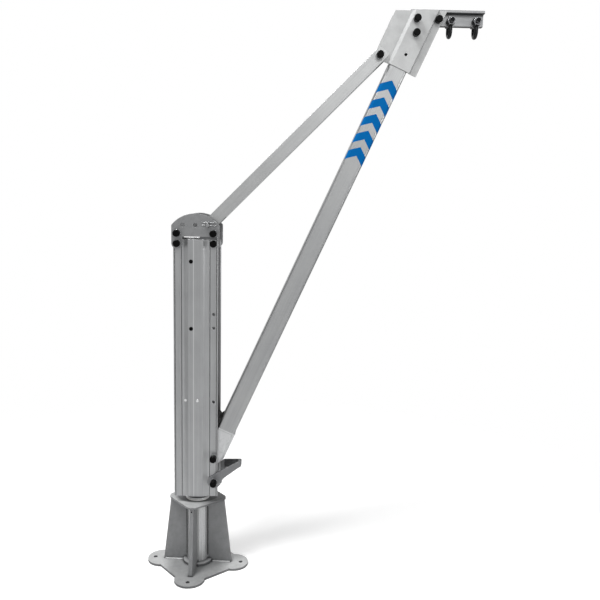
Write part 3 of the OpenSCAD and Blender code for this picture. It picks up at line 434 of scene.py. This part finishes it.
def painted_middle_shade(tree, tone):
    """The tone with painted shade about the middle of the floor plate, which thins out to each side."""
    return laid_over(tree, tone, "#4E4F51", off_line(tree), most=0.45,
                     begins=(MIDDLE_SHADE_TO_MM + MIDDLE_SHADE_FADE_MM) * MM, ends=MIDDLE_SHADE_TO_MM * MM)


def painted_bead_shade(tree, tone):
    """The tone with painted shade up the beads at the tube's sides, and as it was near the floor plate."""
    bead_shade = laid_over(tree, tone, "#121213", off_line(tree), most=0.9,
                     begins=BEAD_SHADE_GONE_MM * MM, ends=BEAD_SHADE_FULL_MM * MM)
    return laid_over(tree, bead_shade, tone, place(tree)["Z"],
                     begins=BEAD_SHADE_HIGH_MM * MM, ends=BEAD_SHADE_LOW_MM * MM)


# %% Coated plate
def coated_plate(name, hex_colour, hex_mottle, hex_edge, roughness, metal=0.5, corner_mm=14.0,
                 cut=0.0, before_wear=(), after_wear=()):
    """Thick plate under a grey film: mottled, pale along its edges, darker on faces that look sideways or
    down, with painted shade and shadow where asked.
    """
    material, tree = blank(name)
    mottle = laid_noise(tree, 26.0, 32.0, lean_deg=12.0, detail=6.0, rough=0.62)
    blots = laid_noise(tree, 7.0, 8.0, rough=0.6)
    grain = laid_noise(tree, 0.8, 0.8, detail=2.0, rough=0.6)
    tone = laid_over(tree, linear(hex_colour), hex_mottle, mottle, begins=0.35, ends=0.65)
    tone = laid_over(tree, tone, "#5A5B5D", blots, most=0.5, begins=0.62, ends=0.78)
    tone = laid_over(tree, tone, "#3E3F41", grain, most=0.15)
    # Faces that look sideways or down are made darker
    if cut:
        tone = laid_by_facing(tree, tone, "#4E4F51", cut, begins=0.75, ends=0.15)
    # Pale edges are laid over the painted shade that comes before them, and the later painted shade and
    # shadow lie over the pale edges
    for mark in before_wear:
        tone = mark(tree, tone)
    tone, direction = pale_edges(tree, tone, hex_edge, 1.2)
    for mark in after_wear:
        tone = mark(tree, tone)
    # Inside corners, and faces close to other pieces, get painted shade
    tone = shaded_corners(tree, tone, "#26272A", corner_mm, 0.75, own_piece=False)
    surface(tree, tone, direction, dulled_by=mottle, roughness=(roughness - 0.05, roughness + 0.08),
            relief=grain, strength=0.3, depth_mm=0.12, held={"Metallic": metal})
    return material


# %% Socket
# The floor plate gets painted shade about its middle
dress(coated_plate("coated_floor_plate", "#D0D1D1", "#C1C2C2", "#D8D9D9", roughness=0.52,
                   metal=0.15, cut=0.7, after_wear=[painted_middle_shade]), "base_plate", "foot_ring")
# The top plate gets a painted shadow under the mast and on the lever's side
dress(coated_plate("coated_top_plate", "#C4C5C5", "#B4B5B5", "#D2D3D3", roughness=0.48,
                   metal=0.15, corner_mm=20.0, cut=0.7, after_wear=[painted_top_plate_shadow]), "top_plate")
dress(coated_plate("coated_gusset", "#818283", "#8D8E8F", "#A9AAAB", roughness=0.55), "gussets")
# The weld beads get painted shade in the corners beside the tube
dress(coated_plate("coated_weld", "#8F9090", "#9B9C9C", "#ACADAD", roughness=0.45,
                   before_wear=[painted_bead_shade]), "weld_beads")
# Drawing pulls the tube through a die too, so it has the profiles' lines, with more gloss
dress(anodised_profile("drawn_steel_tube", "#B8B9BA", "#B0B1B1", lean_deg=0.0, roughness=0.28,
                       metal=0.6), "socket_tube")

# %% [markdown]
# ## Small steel
# Bolts, nuts and washers are zinc plated: a cool, slightly blue silver. The
# screws are bright drawn steel, the release pin is ground, and the clip is bent
# from spring wire: all three shine more. The spigot is turned, smooth and pale,
# with a painted shadow on the upper part of its collar, under the mast's foot.
# The shackles are forged, and keep a dark scale that is rubbed bright where they
# touch, and the pale edges of their nuts and pins are painted highlights. So one
# function makes a steel of two tones in small patches, with a bright edge, and
# the numbers tell plating from scale. Forging leaves a grain of a millimetre or
# two, which stands up as relief. The finer grains are drawn at about half a
# millimetre and stay shallow.


# %% Plated, bright and forged steel
# The painted shadow ends in a soft line, so far to each side
COLLAR_SHADOW_FADE_MM = 1


def small_steel(name, hex_colour, hex_patch, hex_edge, roughness, grain_mm=0.4, relief_mm=0.03,
                edge_mm=0.5, shaded_from_mm=None):
    """Steel fittings: two tones in small patches and pale edges, rubbed bright on most and a painted
    highlight on the shackles' nuts and pins.
    """
    material, tree = blank(name)
    patches = laid_noise(tree, 6.0, 6.0, detail=4.0, rough=0.6)
    grain = laid_noise(tree, grain_mm, grain_mm, rough=0.6)
    tone = laid_over(tree, linear(hex_colour), hex_patch, patches)
    tone, direction = pale_edges(tree, tone, hex_edge, edge_mm)
    # Above a height the tone gets a painted shadow
    if shaded_from_mm is not None:
        tone = laid_over(tree, tone, "#202021", place(tree)["Z"], most=0.9,
                         begins=(shaded_from_mm - COLLAR_SHADOW_FADE_MM) * MM,
                         ends=(shaded_from_mm + COLLAR_SHADOW_FADE_MM) * MM)
    surface(tree, tone, direction, dulled_by=patches, roughness=(roughness - 0.06, roughness + 0.08),
            relief=grain, strength=0.4, depth_mm=relief_mm, held={"Metallic": 1.0})
    return material


# %% Fittings
# Height from which the spigot's collar has a painted shadow, under the mast's foot
COLLAR_SHADOW_MM = 308.5

dress(small_steel("zinc_plated_steel", "#B9BDC1", "#AEB0B0", "#DADCDD", roughness=0.34, grain_mm=0.5),
      "head_bolts", "boom_pivot_bolt", "lever_bolt", "mast_nuts", "mast_washers", "shell_bolts",
      "tie_bolt", "tie_spacer", "boom_nuts", "boom_washers", "arm_spacers")
dress(small_steel("bright_drawn_steel", "#F0F1F1", "#DCDDDD", "#F0F0F0", roughness=0.24),
      "mast_screws")
dress(small_steel("ground_steel", "#A5A6A7", "#8E8F90", "#C6C7C8", roughness=0.30), "release_pin")
dress(small_steel("spring_wire_steel", "#A9AAAB", "#8C8D8E", "#C2C3C4", roughness=0.26), "pin_clip")
dress(small_steel("turned_steel", "#E0E1E2", "#D6D7D8", "#ECEDEE", roughness=0.34,
                  shaded_from_mm=COLLAR_SHADOW_MM), "mast_spigot", "thrust_washer")
# Bronze is the one warm metal here: the boom turns on bushes of it
dress(small_steel("bearing_bronze", "#B08D57", "#9C7B4A", "#D0AE78", roughness=0.30, grain_mm=0.5),
      "pivot_bushes")

# %% Shackles
# The bows keep their scale, the nuts are lighter with a painted highlight on their edges, and the pins are
# black with a painted highlight on their rims
dress(small_steel("forged_steel", "#363738", "#262728", "#77787A", roughness=0.38, grain_mm=1.6,
                  relief_mm=0.25), "shackle_bow_inner", "shackle_bow_outer")
dress(small_steel("forged_nut_steel", "#77787A", "#5A5B5E", "#E2E3E3", roughness=0.32, grain_mm=0.8,
                  relief_mm=0.1, edge_mm=1.4), "shackle_nut_inner", "shackle_nut_outer")
dress(small_steel("dark_pin_steel", "#121213", "#1C1D1E", "#E0E1E2", roughness=0.36, grain_mm=0.8,
                  relief_mm=0.1, edge_mm=1.0), "shackle_pin_inner", "shackle_pin_outer")

# %% [markdown]
# ## Plastics and rubber
# The bolt caps and plugs are black polyethylene, moulded: a soft gloss over a
# skin like fine orange peel. The stop is hard rubber, dull and a little grey with
# dust. The liner is turned from white nylon. None is metal, so a highlight keeps
# the light's own colour, and IOR stays near 1.5. Real peel is a few tenths of a
# millimetre wide and is drawn at about one, or it would not show.


# %% Moulded plastic
def moulded(name, hex_colour, hex_dust, roughness, peel_mm, dust, shine=0.5):
    """Moulded plastic or rubber: an even colour, a peel-like skin, and patches of dust."""
    material, tree = blank(name)
    peel = laid_noise(tree, peel_mm, peel_mm, detail=2.0, rough=0.5)
    powder = laid_noise(tree, 5.0, 5.0, detail=5.0, rough=0.65)
    rounded = add(tree, "ShaderNodeBevel", {"Radius": 1.2 * MM}, samples=BEVEL_SAMPLES)
    tone = laid_over(tree, linear(hex_colour), hex_dust, powder, most=dust, begins=0.45, ends=0.75)
    surface(tree, tone, rounded.outputs[0], dulled_by=powder,
            roughness=(roughness - 0.04, roughness + 0.10), relief=peel, strength=0.25, depth_mm=0.08,
            held={"Metallic": 0.0, "IOR": 1.51, "Specular IOR Level": shine})
    return material


dress(moulded("black_polyethylene", "#030303", "#0A0A0B", roughness=0.34, peel_mm=0.8, dust=0.5,
              shine=0.07), "mast_caps", "boom_caps", "mast_plugs")
dress(moulded("stop_rubber", "#151515", "#2E2E2D", roughness=0.62, peel_mm=1.4, dust=0.8),
      "boom_buffer")
dress(moulded("turned_nylon", "#E4E4E2", "#D4D4D1", roughness=0.40, peel_mm=0.9, dust=0.4),
      "socket_liner")

# %% [markdown]
# ## Blue chevrons
# Five arrows of blue film are stuck to the boom, pointing at its head, and wrap
# its round corners. They could be a pattern in the boom's material, but film has
# an edge and a gloss of its own, so each is a thin skin: a strip cut as an arrow
# in flat film, then laid round the profile. Its points are worked out along the
# skin, so that the arrow keeps its shape as it goes round the corner.

# %% Shape of the film
# The boom turns about this point, and its own frame starts there
PIVOT = hinges["boom_fold"]
# The boom's width, depth and corner radius, and the film's two faces above its skin, in mm
BOOM_W, BOOM_D, BOOM_R = 75.0, 100.0, 12.0
FILM_IN, FILM_OUT = 0.03, 0.22
# The first arrow's point along the boom, the step to the next, a stripe's height, and the
# drop of its edges for each millimetre to the side
APEX, PITCH, HEIGHT, SLOPE = 1676.9, 69.6, 37.2, 0.78
# Half of the boom's flat front, and how far the film goes from the middle: 80 degrees of the corner
FLAT = BOOM_W / 2 - BOOM_R
REACH = FLAT + BOOM_R * math.radians(80)


def round_the_front(along_skin, proud):
    """Where a point of the flat film ends up: across the boom and in depth, in mm."""
    side = math.copysign(1, along_skin)
    past = abs(along_skin) - FLAT
    if past <= 0:
        return along_skin, -BOOM_D / 2 - proud
    turn = past / BOOM_R
    return (side * (FLAT + (BOOM_R + proud) * math.sin(turn)),
            -BOOM_D / 2 + BOOM_R - (BOOM_R + proud) * math.cos(turn))


def on_boom(across, depth, along):
    """A place in the boom's own frame, in mm, as a point of the crane in metres."""
    lean = math.radians(BOOM_LEAN)
    return PIVOT + MM * Vector((across * math.cos(lean) + along * math.sin(lean), depth,
                                along * math.cos(lean) - across * math.sin(lean)))


print("film reaches", round(REACH, 1), "mm each way along the skin")

# %% [markdown]
# ## Film on the boom
# Vinyl film is cast thin and even, so its colour is flat apart from a little
# fading by the sun, and the laying leaves shallow wrinkles a finger wide. Each
# arrow is a strip of boxes from one side of the boom to the other. It rides on
# the boom's body, so it stays stuck when the boom folds.


# %% Vinyl film
def vinyl_film(name, hex_colour, hex_faded):
    """Blue film, cut and stuck: an even colour, a soft gloss, slight wrinkles from the laying."""
    material, tree = blank(name)
    wrinkles = laid_noise(tree, 18.0, 30.0, BOOM_LEAN, rough=0.5)
    fade = laid_noise(tree, 60.0, 90.0, BOOM_LEAN, detail=2.0, rough=0.5)
    tone = laid_over(tree, linear(hex_colour), hex_faded, fade)
    bump = add(tree, "ShaderNodeBump", {"Height": wrinkles, "Strength": 0.15, "Distance": 0.1 * MM})
    shader = add(tree, "ShaderNodeBsdfPrincipled",
                 {"Base Color": tone, "Metallic": 0.0, "Roughness": 0.48, "IOR": 1.47,
                  "Specular IOR Level": 0.05, "Normal": bump.outputs[0]})
    add(tree, "ShaderNodeOutputMaterial", {"Surface": shader.outputs[0]})
    return material


film = vinyl_film("blue_vinyl_film", "#0062A8", "#0366AB")
print(film.name, "has", len(film.node_tree.nodes), "nodes")

# %% Five arrows of film
ARROWS = 5
STEPS = 44


def arrow_points(apex):
    """Four corners of the strip at each step across: inner and outer face, above and below."""
    points = []
    for step in range(STEPS + 1):
        skin = REACH * (2 * step / STEPS - 1)
        top = apex - SLOPE * abs(skin)
        low = top - HEIGHT
        for along, proud in ((top, FILM_IN), (top, FILM_OUT), (low, FILM_OUT), (low, FILM_IN)):
            points.append(tuple(on_boom(*round_the_front(skin, proud), along)))
    return points


def strip_faces():
    """Faces of a strip with four corners at each step, closed at both ends."""
    faces = []
    for step in range(STEPS):
        a, b = 4 * step, 4 * step + 4
        faces += [(a + k, a + (k + 1) % 4, b + (k + 1) % 4, b + k) for k in range(4)]
    end = 4 * STEPS
    return faces + [(3, 2, 1, 0), (end, end + 1, end + 2, end + 3)]


for arrow in range(ARROWS):
    mesh = bpy.data.meshes.new(f"chevron_{arrow + 1}")
    mesh.from_pydata(arrow_points(APEX - PITCH * arrow), [], strip_faces())
    mesh.validate()
    mesh.materials.append(film)
    chevron = bpy.data.objects.new(mesh.name, mesh)
    bpy.context.scene.collection.objects.link(chevron)
    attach(chevron, "boom")
    print(chevron.name, "has", len(mesh.polygons), "faces")

# %% [markdown]
# ## Floor
# The crane stands on a pale floor with no edge in sight. A big plane would end in
# a horizon line, so this is a wide disc that fades out before its rim, and floor
# and background meet with no line. It looks a little whiter to the camera than
# it is, and keeps the crane's shadow.


# %% Floor
def pale_floor(name, hex_colour, full_to, gone_at, glow):
    """A dull pale floor that looks a little whiter to the camera and fades out with distance."""
    material, tree = blank(name)
    found = add(tree, "ShaderNodeTexCoord")
    reach = add(tree, "ShaderNodeVectorMath", {0: found.outputs["Object"]}, operation="LENGTH")
    fade = add(tree, "ShaderNodeMapRange",
               {"Value": reach.outputs["Value"], "From Min": full_to, "From Max": gone_at},
               interpolation_type="SMOOTHSTEP")
    dull = add(tree, "ShaderNodeBsdfDiffuse", {"Color": linear(hex_colour)})
    clear = add(tree, "ShaderNodeBsdfTransparent")
    seen = add(tree, "ShaderNodeLightPath").outputs["Is Camera Ray"]
    lifted = add(tree, "ShaderNodeMath", {0: seen, 1: glow}, operation="MULTIPLY")
    white = add(tree, "ShaderNodeEmission", {"Color": (1, 1, 1, 1), "Strength": lifted.outputs[0]})
    whiter = add(tree, "ShaderNodeAddShader", {0: dull.outputs[0], 1: white.outputs[0]})
    both = add(tree, "ShaderNodeMixShader",
               {0: fade.outputs["Result"], 1: whiter.outputs[0], 2: clear.outputs[0]})
    add(tree, "ShaderNodeOutputMaterial", {"Surface": both.outputs[0]})
    return material


# The disc's radius in metres, its corners, and its middle, a hair below the crane's feet
RIM, RIM_STEPS = 3.2, 96
FLOOR_MIDDLE = (0.1, 0.0, -0.0004)

turns = [2 * math.pi * step / RIM_STEPS for step in range(RIM_STEPS)]
floor_mesh = bpy.data.meshes.new("floor")
floor_mesh.from_pydata([(RIM * math.cos(turn), RIM * math.sin(turn), 0) for turn in turns], [],
                       [tuple(range(RIM_STEPS))])
floor_mesh.materials.append(pale_floor("pale_floor", "#F7F7F7", full_to=0.6, gone_at=2.6, glow=0.3))
floor = bpy.data.objects.new("floor", floor_mesh)
floor.location = FLOOR_MIDDLE
bpy.context.scene.collection.objects.link(floor)
floor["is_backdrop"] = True
print("floor is", 2 * RIM, "m across")

# %% [markdown]
# ## World
# A white studio lights the crane from all round. Here the world is white to the
# camera, greyer in the metal's reflections, and weaker still as a lamp, because a
# metal shows what it mirrors, and a white room would wash it out. To the left and
# the right the reflections darken, as if by curtains, so that slopes and round
# bars show their turn.

# %% World
# Strengths as a lamp and in reflections, and the share of the latter that is left at the sides
AS_LAMP, IN_METAL, AT_SIDES = 0.36, 0.76, 0.5
# How far to the side a reflection looks where the curtains start and where they are full
CURTAIN_STARTS, CURTAIN_FULL = 0.35, 0.85

world = bpy.data.worlds.new("studio")
bpy.context.scene.world = world
world.use_nodes = True
sky = world.node_tree
sky.nodes.clear()
ray = add(sky, "ShaderNodeLightPath")
seen = add(sky, "ShaderNodeMath", {0: ray.outputs["Is Camera Ray"],
                                   1: ray.outputs["Is Transmission Ray"]}, operation="MAXIMUM")
way = add(sky, "ShaderNodeSeparateXYZ", {0: add(sky, "ShaderNodeTexCoord").outputs["Generated"]})
aside = add(sky, "ShaderNodeMath", {0: way.outputs["X"]}, operation="ABSOLUTE")
in_metal = add(sky, "ShaderNodeMapRange",
               {"Value": aside.outputs[0], "From Min": CURTAIN_STARTS, "From Max": CURTAIN_FULL,
                "To Min": IN_METAL - AS_LAMP, "To Max": IN_METAL * AT_SIDES - AS_LAMP})
otherwise = add(sky, "ShaderNodeMapRange", {"Value": seen.outputs[0], "To Min": AS_LAMP, "To Max": 1.0})
strength = add(sky, "ShaderNodeMath",
               {0: ray.outputs["Is Glossy Ray"], 1: in_metal.outputs["Result"],
                2: otherwise.outputs["Result"]}, operation="MULTIPLY_ADD")
backdrop = add(sky, "ShaderNodeBackground", {"Color": (1, 1, 1, 1), "Strength": strength.outputs[0]})
add(sky, "ShaderNodeOutputWorld", {"Surface": backdrop.outputs[0]})
print(world.name, "has", len(sky.nodes), "nodes")

# %% [markdown]
# ## Lamps
# A big soft panel hangs overhead and lights the plates from above, a second
# stands in front and a third at the right. Weak ones at the left and behind keep
# the shadow side and the back readable. Square area lamps are used because they
# give the wide, soft-edged highlights of a studio. Each is turned to a point on
# or near the crane, so that it can be moved without being aimed again.


# %% Lamps
def soft_panel(name, place_m, aim_m, size_m, watts):
    """A square lamp that faces a point."""
    lamp = bpy.data.lights.new(name, "AREA")
    lamp.shape = "SQUARE"
    lamp.size = size_m
    lamp.energy = watts
    panel = bpy.data.objects.new(name, lamp)
    panel.location = place_m
    panel.rotation_euler = (Vector(aim_m) - Vector(place_m)).to_track_quat("-Z", "Y").to_euler()
    bpy.context.scene.collection.objects.link(panel)
    print(name, "gives", watts, "W")


soft_panel("roof_panel", (-1.7, -1.8, 6.4), (0.2, 0.0, 0.6), size_m=1.8, watts=290)
soft_panel("front_panel", (1.3, -5.5, 4.3), (0.5, 0.0, 1.4), size_m=2.4, watts=60)
soft_panel("right_panel", (4.5, -2.2, 1.5), (0.3, 0.0, 0.9), size_m=1.4, watts=56)
soft_panel("left_panel", (-3.2, -1.8, 1.4), (0.2, 0.0, 0.8), size_m=1.6, watts=6)
soft_panel("back_panel", (-3.4, 4.4, 5.6), (0.3, 0.0, 1.1), size_m=2.0, watts=46)

# %% [markdown]
# ## Colour and size
# The view stays plain, so that a colour shows as it was written. The boxes of the
# bare and the dressed crane are written down, to be compared.

# %% View and sizes
bpy.context.scene.view_settings.view_transform = "Standard"
dressed_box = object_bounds()
grown = [[round((b - a) / MM, 2) for a, b in zip(*pair)] for pair in zip(cad_box, dressed_box)]
print("grown by mm:", grown)
